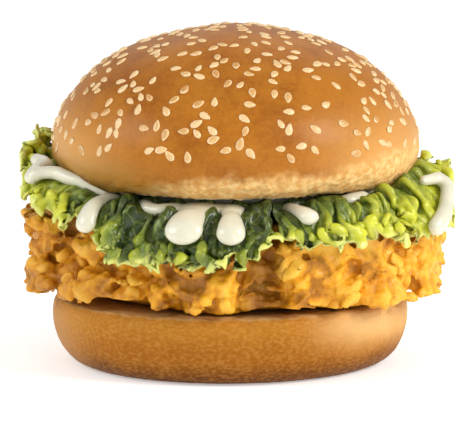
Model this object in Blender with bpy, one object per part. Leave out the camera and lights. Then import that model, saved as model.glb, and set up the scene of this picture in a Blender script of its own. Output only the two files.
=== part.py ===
# A chicken burger: a seeded bun crown, mayonnaise, curly lettuce, a craggy fried fillet and the bun heel.
#
# The frame is in metres with +Z up. The origin is on the table, under the middle of the burger, and the
# front of the burger faces -Y. An angle is counted from +X, so 270 degrees is the front.

import math
import random

import bmesh
import bpy
from mathutils import Matrix, Vector, noise

MM = 0.001

# The bun heel stands on a flat foot, swells to its waist and ends at the cut face.
HEEL_FOOT_RADIUS = 42.0 * MM
HEEL_RADIUS = 52.5 * MM
HEEL_WAIST_HEIGHT = 15.0 * MM
HEEL_RIM_RADIUS = 50.0 * MM
HEEL_HEIGHT = 20.3 * MM

# The bun crown has a flat cut face below, a lip that rolls out to its widest ring, and a domed top.
CROWN_CUT_RADIUS = 44.0 * MM
CROWN_CUT_HEIGHT = 53.6 * MM
CROWN_RADIUS = 53.8 * MM
CROWN_WIDEST_HEIGHT = 64.0 * MM
CROWN_TOP_HEIGHT = 99.4 * MM
CROWN_CENTRE = Vector((-0.4 * MM, 0.0, 0.0))
HEEL_CENTRE = Vector((-2.0 * MM, 0.0, 0.0))
BUN_SEGMENTS = 40

# Sesame seeds on the dome.
SEED_HALF_SIZE = Vector((1.75, 1.08, 0.62)) * MM
SEED_COUNT = 120
SEED_SPACING = 4.2 * MM
SEED_LOWEST_SHARE = 0.03
SEED_DRAW = 11

# The fillet lies between the heel and the lettuce. Each row is an angle, the reach of the upper edge and
# the reach of the lower edge, in millimetres.
FILLET_BOTTOM = 20.8 * MM
FILLET_TOP = 46.0 * MM
FILLET_REACH = (
    (0, 59.5, 58), (20, 58, 57), (50, 54, 56), (90, 51, 54), (130, 53, 56), (160, 57, 58),
    (180, 60, 58.5), (197, 60, 58), (213, 55, 56), (230, 51, 53), (247, 50, 51), (258, 50.5, 55),
    (268, 50, 54), (278, 50.5, 50.5), (290, 54, 54), (305, 55, 55), (325, 57, 56.5), (342, 59.5, 58),
)
FILLET_CREASE_HEIGHT = 32.0 * MM
FILLET_CREASE_ANGLE = 205.0
FILLET_CREASE_SPAN = 42.0
FILLET_CREASE_WIDTH = 2.4 * MM
FILLET_CREASE_DEPTH = 5.0 * MM
FILLET_SKIN = 2.5 * MM
FILLET_ROUNDING = 5.0 * MM
FILLET_RINGS = 10
FILLET_SEGMENTS = 90
FILLET_OVERHANG_RADIUS = HEEL_RADIUS + 3.0 * MM
FILLET_LOWEST = HEEL_WAIST_HEIGHT + 3.5 * MM
FILLET_UNDER_LETTUCE = 0.5 * MM
CRAG_COUNT = 150
CRAG_DRAW = 5
CRAG_SIZES = (2.6 * MM, 6.2 * MM)
CRAG_SINK = 0.75
CRUST_DEPTH = 0.7 * MM
CRUST_GRAIN = 5.0 * MM
CRUST_SOFTENING = 2
FILLET_VOXEL = 1.1 * MM
FILLET_FACES = 2600

# The lettuce lies flat under the crown from its inner edge to its bend, and then runs out to its margin.
# Each row is an angle, the reach and height of the margin, and how far the sheet arches up on the way.
LETTUCE_INNER_RADIUS = 12.0 * MM
LETTUCE_BEND_RADIUS = 42.0 * MM
LETTUCE_LEVEL = 48.0 * MM
LETTUCE_THICKNESS = 0.7 * MM
HANGING_LEVEL = LETTUCE_LEVEL - 4.0 * MM
SHEET_STEPS = 12
LETTUCE_MARGIN = (
    (5, 62.2, 60, 12), (25, 61, 54, 8), (50, 59, 44, 3), (90, 57, 42, 2), (130, 58.5, 44, 4),
    (150, 59.5, 56, 8), (168, 60, 69, 8), (180, 62, 58, 12), (195, 61.5, 46, 18), (210, 60.5, 42, 16),
    (225, 59, 38, 6), (240, 57.5, 34, 1), (256, 57.5, 34, 0), (268, 57.5, 34, 0), (280, 57, 37, 0),
    (292, 57.5, 41, 2), (308, 58.5, 42, 4), (325, 60, 44, 8), (340, 61.5, 46, 15), (352, 62.2, 50, 18),
)
LEAVES = (
    ("lettuce_leaf_left", 140.0, 222.0),
    ("lettuce_leaf_front", 224.0, 279.5),
    ("lettuce_leaf_right", 283.5, 375.0),
    ("lettuce_leaf_back", 17.0, 138.0),
)
RUFFLE_WAVES = 22
RUFFLE_UNEVENNESS = 0.9
RUFFLE_HEIGHT = 3.6 * MM
RUFFLE_SWAY = 1.9 * MM
RUFFLE_GROWTH = 1.5
CALM_UNDER_SAUCE = 0.15
CALM_PER_WIDTH = 0.55
CALM_EDGE_SPAN = 4.0
LEAF_CORNER_SPAN = 9.0
LEAF_CORNER_TRIM = 0.30
COLUMNS_PER_DEGREE = 0.40
LEAF_ROWS = 5

# Mayonnaise: a disc under the crown with drips over the lettuce, and two loose curls. A row of a path is
# an angle, how far along the free sheet it lies from the bend at 0 to the margin at 1, its width and its
# thickness in millimetres.
SAUCE_DISC_RADIUS = 43.0 * MM
SAUCE_DISC_BOTTOM = 49.0 * MM
SAUCE_DISC_TOP = 53.0 * MM
SAUCE_DISC_SEGMENTS = 48
SAUCE_COVERED_RADIUS = CROWN_CUT_RADIUS + 3.0 * MM
DRIPS = (
    ((224, 0.12, 5, 3.4), (223.5, 0.35, 5, 3.2), (223, 0.60, 6, 3.4)),
    ((233, 0.05, 5, 3.4), (238, 0.18, 5, 3.2), (243, 0.16, 5, 3.2), (247, 0.05, 5, 3.4)),
    ((256, 0.08, 9, 3.6), (255.5, 0.30, 9, 3.6), (255, 0.52, 10, 5.0), (255, 0.64, 10.5, 5.8)),
    ((268.5, 0.08, 7, 3.6), (268.5, 0.32, 7, 3.6), (268.5, 0.54, 8, 5.0), (268.5, 0.66, 8.2, 5.6)),
    ((291, 0.08, 4.5, 3.4), (291, 0.30, 5, 3.4), (291.5, 0.52, 5.2, 4.4)),
    ((310, 0.05, 5, 3.4), (314, 0.20, 6, 3.4), (319, 0.20, 6, 3.4), (322, 0.06, 5, 3.4)),
)
CURLS = {
    "mayonnaise_curl_left": (
        (186, 0.74, 4, 3.4), (190, 0.60, 4.4, 3.6), (196, 0.52, 4.4, 3.6), (203, 0.50, 4.4, 3.6),
        (210, 0.50, 4.6, 3.6), (216, 0.58, 4.4, 3.2), (219, 0.70, 4, 3.0),
    ),
    "mayonnaise_curl_right": (
        (350, 0.40, 3.4, 3.0), (355, 0.48, 4.4, 3.6), (356, 0.60, 4.8, 4.0), (351, 0.70, 5, 4.0),
        (345, 0.76, 6, 4.4), (341, 0.86, 6.4, 4.6),
    ),
}
RESTING_DROPS = [row for path in (*DRIPS, *CURLS.values()) for row in path if row[1] > 0.3]
DROP_LENGTH_SHARE = 0.83
DROP_STEP = 1.0 * MM
SAUCE_VOXEL = 0.8 * MM
SAUCE_SOFTENING = 3
SAUCE_FACES = 1100
CURL_FACES = 220

CLEARANCE = 0.35 * MM

FINISHES = {
    "bun_crust": ((0.56, 0.24, 0.05), 0.38),
    "fried_coating": ((0.68, 0.30, 0.03), 0.5),
    "lettuce": ((0.30, 0.42, 0.04), 0.4),
    "mayonnaise": ((0.88, 0.86, 0.76), 0.25),
}


def clear_scene():
    for old in list(bpy.data.objects):
        bpy.data.objects.remove(old, do_unlink=True)


def finish(name):
    """The material of that name, made on its first use."""
    found = bpy.data.materials.get(name)
    if found:
        return found
    colour, roughness = FINISHES[name]
    made = bpy.data.materials.new(name)
    made.use_nodes = True
    shader = made.node_tree.nodes["Principled BSDF"]
    shader.inputs["Base Color"].default_value = (*colour, 1.0)
    shader.inputs["Roughness"].default_value = roughness
    shader.inputs["Metallic"].default_value = 0.0
    return made


def place_object(name, mesh_builder, material_name):
    """Writes a bmesh into a new object of the scene."""
    mesh = bpy.data.meshes.new(name)
    mesh_builder.to_mesh(mesh)
    mesh_builder.free()
    made = bpy.data.objects.new(name, mesh)
    made.data.materials.append(finish(material_name))
    bpy.context.scene.collection.objects.link(made)
    return made


def apply_modifiers(piece):
    """Replaces the piece's mesh with what its modifiers make of it."""
    graph = bpy.context.evaluated_depsgraph_get()
    made = bpy.data.meshes.new_from_object(piece.evaluated_get(graph))
    piece.modifiers.clear()
    piece.data = made


def thin_out(piece, faces):
    """Collapses edges until about that many triangles are left."""
    thin = piece.modifiers.new("thin", "DECIMATE")
    thin.ratio = min(1.0, faces / sum(len(face.vertices) - 2 for face in piece.data.polygons))
    thin.use_collapse_triangulate = True
    apply_modifiers(piece)


def soften(piece, rounds):
    """Draws each point towards its neighbours, as many times as rounds."""
    settle = piece.modifiers.new("settle", "SMOOTH")
    settle.factor = 0.5
    settle.iterations = rounds
    apply_modifiers(piece)


def keep_largest_body(piece):
    """Drops the loose scraps that a cut or a remesh leaves beside the main body."""
    shape = bmesh.new()
    shape.from_mesh(piece.data)
    unseen = set(shape.verts)
    bodies = []
    while unseen:
        start = unseen.pop()
        body, front = {start}, [start]
        while front:
            for edge in front.pop().link_edges:
                for vertex in edge.verts:
                    if vertex in unseen:
                        unseen.discard(vertex)
                        body.add(vertex)
                        front.append(vertex)
        bodies.append(body)
    largest = max(bodies, key=len)
    scraps = [vertex for vertex in shape.verts if vertex not in largest]
    bmesh.ops.delete(shape, geom=scraps, context="VERTS")
    shape.to_mesh(piece.data)
    shape.free()


def around(table, angle):
    """Reads a table of rows that start with an angle, easing from row to row round the whole circle."""
    rows = sorted(table)
    angle %= 360.0
    after = next((i for i, row in enumerate(rows) if row[0] > angle), 0)
    low, high = rows[after - 1], rows[after]
    span = (high[0] - low[0]) % 360.0
    share = ((angle - low[0]) % 360.0) / span
    ease = share * share * (3 - 2 * share)
    return tuple((a + (b - a) * ease) * MM for a, b in zip(low[1:], high[1:]))


def turn_between(angle, other):
    """The smaller angle between two directions."""
    return abs((angle - other + 180) % 360 - 180)


def spoke(angle, radius, height):
    """The point at an angle, a distance from the axis and a height."""
    turn = math.radians(angle)
    return Vector((radius * math.cos(turn), radius * math.sin(turn), height))


def angle_of(point):
    return math.degrees(math.atan2(point.y, point.x))


def turn_profile(shape, profile, segments):
    """Spins a profile that starts and ends on the axis into a closed shell."""
    bmesh.ops.spin(
        shape, geom=profile, axis=(0, 0, 1), cent=(0, 0, 0), angle=math.tau, steps=segments, use_merge=True
    )
    bmesh.ops.remove_doubles(shape, verts=shape.verts, dist=0.01 * MM)


def elliptic_arc(centre, half_width, half_height, start, end, steps):
    """Points of a profile, as radius and height, along part of an ellipse."""
    turns = [math.radians(start + (end - start) * i / steps) for i in range(steps + 1)]
    return [(centre[0] + half_width * math.cos(t), centre[1] + half_height * math.sin(t)) for t in turns]


# The buns


def hand_shaped(angle):
    """A round bun is never a true circle."""
    turn = math.radians(angle)
    return 1 + 0.007 * math.sin(2 * turn + 0.7) + 0.005 * math.sin(3 * turn + 2.0)


def turned_bun(name, profile, centre):
    """Turns a profile from axis to axis into a closed, slightly uneven bun."""
    shape = bmesh.new()
    ring = [shape.verts.new((radius, 0, height)) for radius, height in profile]
    edges = [shape.edges.new(pair) for pair in zip(ring, ring[1:])]
    turn_profile(shape, ring + edges, BUN_SEGMENTS)
    for vertex in shape.verts:
        vertex.co.xy *= hand_shaped(angle_of(vertex.co))
    bmesh.ops.translate(shape, verts=shape.verts, vec=centre)
    bmesh.ops.recalc_face_normals(shape, faces=shape.faces)
    bun = place_object(name, shape, "bun_crust")
    bun.data.shade_smooth()
    return bun


def heel_bun():
    waist = (HEEL_FOOT_RADIUS, HEEL_WAIST_HEIGHT)
    side = elliptic_arc(waist, HEEL_RADIUS - HEEL_FOOT_RADIUS, HEEL_WAIST_HEIGHT, -90, 0, 7)
    shoulder = (HEEL_RIM_RADIUS, HEEL_WAIST_HEIGHT)
    rim = elliptic_arc(shoulder, HEEL_RADIUS - HEEL_RIM_RADIUS, HEEL_HEIGHT - HEEL_WAIST_HEIGHT, 0, 90, 4)
    return turned_bun("bun_heel", [(0, 0), *side, *rim[1:], (0, HEEL_HEIGHT)], HEEL_CENTRE)


def crown_bun():
    lip_centre = (CROWN_CUT_RADIUS, CROWN_WIDEST_HEIGHT)
    lip_width = CROWN_RADIUS - CROWN_CUT_RADIUS
    lip = elliptic_arc(lip_centre, lip_width, CROWN_WIDEST_HEIGHT - CROWN_CUT_HEIGHT, -90, 0, 4)
    dome_height = CROWN_TOP_HEIGHT - CROWN_WIDEST_HEIGHT
    dome = elliptic_arc((0, CROWN_WIDEST_HEIGHT), CROWN_RADIUS, dome_height, 0, 90, 10)
    profile = [(0, CROWN_CUT_HEIGHT), *lip, *dome[1:-1], (0, CROWN_TOP_HEIGHT)]
    return turned_bun("bun_crown", profile, CROWN_CENTRE)


def seed_places():
    """Seeded random places on the dome, even by area and no closer than the seeds' spacing."""
    draw = random.Random(SEED_DRAW)
    rise = CROWN_TOP_HEIGHT - CROWN_WIDEST_HEIGHT
    places = []
    while len(places) < SEED_COUNT:
        share, angle, kept = draw.uniform(SEED_LOWEST_SHARE, 1), draw.uniform(0, 360), draw.random()
        spin = draw.uniform(0, math.pi)
        flank = math.sqrt(1 - share * share)
        if kept > math.hypot(rise * flank, CROWN_RADIUS * share) / CROWN_RADIUS:
            continue
        radius = CROWN_RADIUS * flank * hand_shaped(angle)
        point = spoke(angle, radius, CROWN_WIDEST_HEIGHT + rise * share) + CROWN_CENTRE
        if any((point - other).length < SEED_SPACING for other, _, _ in places):
            continue
        outward = spoke(angle, flank / CROWN_RADIUS, share / rise).normalized()
        places.append((point, outward, spin))
    return places


def add_seeds(crown):
    """Fuses the sesame seeds onto the dome with one union."""
    seeds = bpy.data.collections.new("sesame_seeds")
    bpy.context.scene.collection.children.link(seeds)
    shape = bmesh.new()
    bmesh.ops.create_icosphere(shape, subdivisions=1, radius=1)
    for vertex in shape.verts:
        vertex.co = Vector(a * b for a, b in zip(vertex.co, SEED_HALF_SIZE))
    seed_mesh = bpy.data.meshes.new("sesame_seed")
    shape.to_mesh(seed_mesh)
    shape.free()
    for number, (point, outward, spin) in enumerate(seed_places()):
        seed = bpy.data.objects.new(f"sesame_seed_{number}", seed_mesh)
        turn = outward.to_track_quat("Z", "X").to_matrix() @ Matrix.Rotation(spin, 3, "Z")
        seed.matrix_world = Matrix.Translation(point) @ turn.to_4x4()
        seeds.objects.link(seed)
    union = crown.modifiers.new("seeds", "BOOLEAN")
    union.operation = "UNION"
    union.operand_type = "COLLECTION"
    union.collection = seeds
    union.solver = "EXACT"
    apply_modifiers(crown)
    for seed in list(seeds.objects):
        bpy.data.objects.remove(seed, do_unlink=True)
    bpy.data.collections.remove(seeds)


# The lettuce


def sheet_line(angle, along):
    """The free sheet without its ruffle, as radius and height: 0 is the bend and 1 the margin."""
    reach, height, arch = around(LETTUCE_MARGIN, angle)
    back = 1 - along
    radius = LETTUCE_BEND_RADIUS * back**2 + 2 * (reach + 1 * MM) * along * back + reach * along**2
    level = LETTUCE_LEVEL * back**2 + 2 * (LETTUCE_LEVEL + arch) * along * back + height * along**2
    return radius, level


def sheet_outward(angle, along):
    """The sheet's upper side, as a unit vector, from two points close together on its line."""
    step = 0.02
    low, high = sheet_line(angle, along - step), sheet_line(angle, along + step)
    return spoke(angle, low[1] - high[1], high[0] - low[0]).normalized()


def ruffle_strength(angle, along):
    """The ruffle grows towards the margin, and lies down under each drip of mayonnaise."""
    calm = 1.0
    for row in RESTING_DROPS:
        away = turn_between(angle, row[0]) - CALM_PER_WIDTH * row[2]
        calm = min(calm, max(CALM_UNDER_SAUCE, away / CALM_EDGE_SPAN))
    return calm * along**RUFFLE_GROWTH


def leaf_point(angle, along):
    """A point of the ruffled free sheet."""
    radius, level = sheet_line(angle, along)
    phase = math.radians(angle) * RUFFLE_WAVES + RUFFLE_UNEVENNESS * math.sin(math.radians(3 * angle))
    strength = ruffle_strength(angle, along)
    sideways = spoke(angle + 90, RUFFLE_SWAY * strength * math.sin(2 * phase), 0)
    lift = sheet_outward(angle, along) * (RUFFLE_HEIGHT * strength * math.sin(phase))
    return spoke(angle, radius, level) + lift + sideways


def corner_trim(angle, start, end):
    """How far the leaf stops short of its margin near its two ends, which are rounded."""
    near = min(angle - start, end - angle)
    return (1 - min(1.0, near / LEAF_CORNER_SPAN)) ** 2 * LEAF_CORNER_TRIM


def lettuce_leaf(name, start, end):
    """One leaf: a grid bent to its place, its two faces split alike, and then given its thickness."""
    shape = bmesh.new()
    columns = round((end - start) * COLUMNS_PER_DEGREE)
    bmesh.ops.create_grid(shape, x_segments=columns, y_segments=LEAF_ROWS, size=1)
    for vertex in shape.verts:
        across, along = (vertex.co.x + 1) / 2, (vertex.co.y + 1) / 2
        angle = start + (end - start) * across
        if along < 0.5 / LEAF_ROWS:
            vertex.co = spoke(angle, LETTUCE_INNER_RADIUS, LETTUCE_LEVEL)
            continue
        free = max(0.0, (along - 1 / LEAF_ROWS) / (1 - 1 / LEAF_ROWS))
        vertex.co = leaf_point(angle, free * (1 - corner_trim(angle, start, end)))
    bmesh.ops.triangulate(shape, faces=shape.faces)
    bmesh.ops.recalc_face_normals(shape, faces=shape.faces)
    leaf = place_object(name, shape, "lettuce")
    wall = leaf.modifiers.new("wall", "SOLIDIFY")
    wall.thickness = LETTUCE_THICKNESS
    wall.offset = 0
    return leaf


# The fillet


def fillet_reach(angle, height):
    """The radius of the fillet's side at a height, with the crease that splits its left side in two."""
    upper, lower = around(FILLET_REACH, angle)
    share = (height - FILLET_BOTTOM) / (FILLET_TOP - FILLET_BOTTOM)
    away = turn_between(angle, FILLET_CREASE_ANGLE) / FILLET_CREASE_SPAN
    crease = max(0.0, 1 - away**2) * math.exp(-(((height - FILLET_CREASE_HEIGHT) / FILLET_CREASE_WIDTH) ** 2))
    return lower + (upper - lower) * share - FILLET_CREASE_DEPTH * crease


def keep_in_layer(point):
    """Moves a point of the fillet back between the heel and the lettuce."""
    angle = angle_of(point)
    radius = point.xy.length
    floor = FILLET_BOTTOM if radius < FILLET_OVERHANG_RADIUS else FILLET_LOWEST
    point.z = min(max(point.z, floor), FILLET_TOP)
    for step in range(SHEET_STEPS + 1):
        along = step / SHEET_STEPS
        line_radius, line_level = sheet_line(angle, along)
        room = LETTUCE_THICKNESS + FILLET_UNDER_LETTUCE + RUFFLE_HEIGHT * ruffle_strength(angle, along)
        gap = math.hypot(radius - line_radius, point.z - line_level)
        if gap >= room:
            continue
        if line_level < HANGING_LEVEL:
            radius = min(radius, line_radius - math.sqrt(room**2 - (point.z - line_level) ** 2))
        else:
            point.z = min(point.z, line_level - math.sqrt(room**2 - (radius - line_radius) ** 2))
    return spoke(angle, radius, point.z)


def add_fillet_core(shape):
    """The smooth body of the fillet: a turned slab that follows the reach of each angle."""
    thickness = FILLET_TOP - FILLET_BOTTOM
    heights = [FILLET_BOTTOM + thickness * i / FILLET_RINGS for i in range(FILLET_RINGS + 1)]
    profile = [(0, heights[0]), *[(1, h) for h in heights], (0, heights[-1])]
    ring = [shape.verts.new((radius, 0, height)) for radius, height in profile]
    edges = [shape.edges.new(pair) for pair in zip(ring, ring[1:])]
    turn_profile(shape, ring + edges, FILLET_SEGMENTS)
    middle = (FILLET_BOTTOM + FILLET_TOP) / 2
    for vertex in shape.verts:
        if vertex.co.xy.length < 0.5:
            continue
        angle = angle_of(vertex.co)
        rounding = FILLET_ROUNDING * abs((vertex.co.z - middle) / (thickness / 2)) ** 3
        vertex.co = spoke(angle, fillet_reach(angle, vertex.co.z) - FILLET_SKIN - rounding, vertex.co.z)


def add_crags(shape):
    """Lumps and flakes of coating, half sunk in the side, by a rule with seeded draws."""
    draw = random.Random(CRAG_DRAW)
    for number in range(CRAG_COUNT):
        angle = number * 360 * 0.618034 + draw.uniform(-6, 6)
        height = FILLET_BOTTOM + (FILLET_TOP - FILLET_BOTTOM) * draw.uniform(0.10, 0.90)
        size = draw.uniform(*CRAG_SIZES)
        stretch = Vector((draw.uniform(0.6, 1.1), draw.uniform(0.7, 1.5), draw.uniform(0.5, 1.0))) * size
        reach = fillet_reach(angle, height) - CRAG_SINK * stretch.x
        roll = Matrix.Rotation(draw.uniform(-0.7, 0.7), 4, "X")
        place = Matrix.Translation(spoke(angle, reach, height)) @ Matrix.Rotation(math.radians(angle), 4, "Z")
        lump = place @ roll @ Matrix.Diagonal((*stretch, 1))
        bmesh.ops.create_icosphere(shape, subdivisions=2, radius=1, matrix=lump)


def rough_up(piece, depth, grain):
    """Moves each point along its normal by two octaves of noise, as the crust of the coating does."""
    for vertex in piece.data.vertices:
        place = vertex.co / grain
        vertex.co += vertex.normal * depth * (noise.noise(place) + 0.5 * noise.noise(2.1 * place))


def chicken_fillet():
    shape = bmesh.new()
    add_fillet_core(shape)
    add_crags(shape)
    bmesh.ops.recalc_face_normals(shape, faces=shape.faces)
    fillet = place_object("chicken_fillet", shape, "fried_coating")
    fuse = fillet.modifiers.new("fuse", "REMESH")
    fuse.mode = "VOXEL"
    fuse.voxel_size = FILLET_VOXEL
    apply_modifiers(fillet)
    rough_up(fillet, CRUST_DEPTH, CRUST_GRAIN)
    thin_out(fillet, FILLET_FACES)
    soften(fillet, CRUST_SOFTENING)
    for vertex in fillet.data.vertices:
        vertex.co = keep_in_layer(vertex.co.copy())
    keep_largest_body(fillet)
    return fillet


# The mayonnaise


def drop_on_sheet(shape, angle, along, width, thickness):
    """A flattened drop that lies on the upper side of the lettuce."""
    outward = sheet_outward(angle, along)
    lift = LETTUCE_THICKNESS / 2 + CLEARANCE + thickness / 2
    point = leaf_point(angle, along) + outward * lift
    sideways = spoke(angle + 90, 1, 0)
    forward = outward.cross(sideways).normalized()
    sizes = (sideways * width / 2, forward * width * DROP_LENGTH_SHARE / 2, outward * thickness / 2)
    place = Matrix.Translation(point) @ Matrix(sizes).transposed().to_4x4()
    bmesh.ops.create_icosphere(shape, subdivisions=2, radius=1, matrix=place)


def trail(shape, path):
    """Drops close together along a path, so that they fuse into one smooth strand."""
    for low, high in zip(path, path[1:]):
        ends = [spoke(row[0], *sheet_line(row[0], row[1])) for row in (low, high)]
        steps = max(1, round((ends[1] - ends[0]).length / DROP_STEP))
        for step in range(steps + 1):
            angle, along, width, thickness = (a + (b - a) * step / steps for a, b in zip(low, high))
            drop_on_sheet(shape, angle, along, width * MM, thickness * MM)


def sauce_piece(name, shape, faces):
    """Fuses the drops, keeps them under the crown's cut face and drops any loose scrap."""
    sauce = place_object(name, shape, "mayonnaise")
    fuse = sauce.modifiers.new("fuse", "REMESH")
    fuse.mode = "VOXEL"
    fuse.voxel_size = SAUCE_VOXEL
    apply_modifiers(sauce)
    soften(sauce, SAUCE_SOFTENING)
    thin_out(sauce, faces)
    for vertex in sauce.data.vertices:
        if vertex.co.xy.length < SAUCE_COVERED_RADIUS:
            vertex.co.z = min(vertex.co.z, CROWN_CUT_HEIGHT - CLEARANCE)
    keep_largest_body(sauce)
    return sauce


def mayonnaise():
    shape = bmesh.new()
    bmesh.ops.create_cone(
        shape,
        cap_ends=True,
        segments=SAUCE_DISC_SEGMENTS,
        radius1=SAUCE_DISC_RADIUS,
        radius2=SAUCE_DISC_RADIUS,
        depth=SAUCE_DISC_TOP - SAUCE_DISC_BOTTOM,
        matrix=Matrix.Translation((0, 0, (SAUCE_DISC_BOTTOM + SAUCE_DISC_TOP) / 2)),
    )
    for path in DRIPS:
        trail(shape, path)
    sauce_piece("mayonnaise", shape, SAUCE_FACES)
    for name, path in CURLS.items():
        shape = bmesh.new()
        trail(shape, path)
        sauce_piece(name, shape, CURL_FACES)


def main():
    clear_scene()
    heel_bun()
    chicken_fillet()
    for leaf in LEAVES:
        lettuce_leaf(*leaf)
    mayonnaise()
    add_seeds(crown_bun())


main()
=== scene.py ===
# %% [markdown]
# # Dressing a chicken burger
#
# The frame holds the burger as plain solids of the right size: two buns, a fillet, four leaves and the
# mayonnaise. This lesson dresses each of them with a finer mesh and a finish of its own. We work from
# the bottom up, as someone builds a real burger, and then set the table and the light.

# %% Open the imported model
import math
import random

import bmesh
import bpy
from mathutils import Matrix, Vector, noise
from mathutils.kdtree import KDTree


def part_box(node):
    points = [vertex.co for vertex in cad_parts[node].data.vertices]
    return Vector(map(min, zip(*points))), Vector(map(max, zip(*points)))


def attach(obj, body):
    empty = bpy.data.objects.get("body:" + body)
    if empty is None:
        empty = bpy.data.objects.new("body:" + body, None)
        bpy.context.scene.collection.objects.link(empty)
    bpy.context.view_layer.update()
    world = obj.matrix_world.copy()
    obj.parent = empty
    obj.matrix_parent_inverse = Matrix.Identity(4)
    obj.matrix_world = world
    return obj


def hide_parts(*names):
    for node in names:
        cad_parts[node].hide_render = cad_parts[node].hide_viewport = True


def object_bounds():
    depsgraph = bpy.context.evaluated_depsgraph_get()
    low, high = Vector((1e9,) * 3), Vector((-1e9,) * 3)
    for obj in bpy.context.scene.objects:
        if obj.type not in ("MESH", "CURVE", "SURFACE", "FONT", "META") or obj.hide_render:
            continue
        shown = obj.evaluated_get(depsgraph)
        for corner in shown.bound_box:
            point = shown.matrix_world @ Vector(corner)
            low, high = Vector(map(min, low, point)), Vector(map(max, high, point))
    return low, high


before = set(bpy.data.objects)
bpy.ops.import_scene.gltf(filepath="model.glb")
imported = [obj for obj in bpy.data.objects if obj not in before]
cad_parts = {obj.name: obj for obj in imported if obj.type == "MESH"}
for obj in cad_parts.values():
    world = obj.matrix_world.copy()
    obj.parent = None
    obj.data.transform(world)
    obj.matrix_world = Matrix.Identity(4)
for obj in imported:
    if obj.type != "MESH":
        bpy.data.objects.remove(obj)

MM = 0.001
cad_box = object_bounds()
print("solids:", ", ".join(sorted(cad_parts)))
print("box in mm:", [[round(value / MM, 1) for value in corner] for corner in cad_box])

# %% [markdown]
# ## Where the camera stands
#
# A product shot of food is taken with a long lens from a little above the table, so that the layers
# read from the side and the bun still shows its top. A long lens far away keeps the burger from
# bulging towards us. Blender's image is as wide as its sensor, so the focal length follows from how
# many millimetres of burger the frame should be wide.

# %% Camera
CAMERA_ELEVATION = 8.0
CAMERA_DISTANCE = 1.1
CAMERA_AIM = Vector((0.4 * MM, 0.0, 44.2 * MM))
FRAME_WIDTH = 140.6 * MM


def aim_camera():
    """A camera that looks along +Y from a little above the table."""
    data = bpy.data.cameras.new("camera")
    data.lens = data.sensor_width * CAMERA_DISTANCE / FRAME_WIDTH
    camera = bpy.data.objects.new("camera", data)
    tilt = math.radians(CAMERA_ELEVATION)
    back = Vector((0, -math.cos(tilt), math.sin(tilt)))
    camera.location = CAMERA_AIM + back * CAMERA_DISTANCE
    camera.rotation_euler = back.to_track_quat("Z", "Y").to_euler()
    bpy.context.scene.collection.objects.link(camera)
    bpy.context.scene.camera = camera
    return camera


print("lens in mm:", round(aim_camera().data.lens))

# %% [markdown]
# ## A short way to write shader maths
#
# Node trees get long when each sum is placed by hand. We wrap a socket in a small class whose operators
# add the Math node for us, so that a mask reads like a formula. Every other node comes from one method,
# which sets the node's own settings first and its sockets after that.

# %% Shader helpers


class Value:
    """One output socket of a finish, which Python's operators turn into Math nodes."""

    def __init__(self, finish, socket):
        self.finish = finish
        self.socket = socket

    def math(self, operation, *others, first=None):
        sockets = [self if first is None else first, *others]
        if first is not None:
            sockets = [first, self]
        return self.finish.add("ShaderNodeMath", {"operation": operation}, dict(enumerate(sockets)))

    def __add__(self, other):
        return self.math("ADD", other)

    __radd__ = __add__

    def __sub__(self, other):
        return self.math("SUBTRACT", other)

    def __rsub__(self, other):
        return self.math("SUBTRACT", first=other)

    def __mul__(self, other):
        return self.math("MULTIPLY", other)

    __rmul__ = __mul__

    def __truediv__(self, other):
        return self.math("DIVIDE", other)

    def __pow__(self, other):
        return self.math("POWER", other)

    def between(self, low, high):
        """0 where the value is at low, 1 where it is at high, with soft ends."""
        settings = {"interpolation_type": "SMOOTHSTEP"}
        sockets = {"Value": self, "From Min": low, "From Max": high}
        return self.finish.add("ShaderNodeMapRange", settings, sockets)


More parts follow.
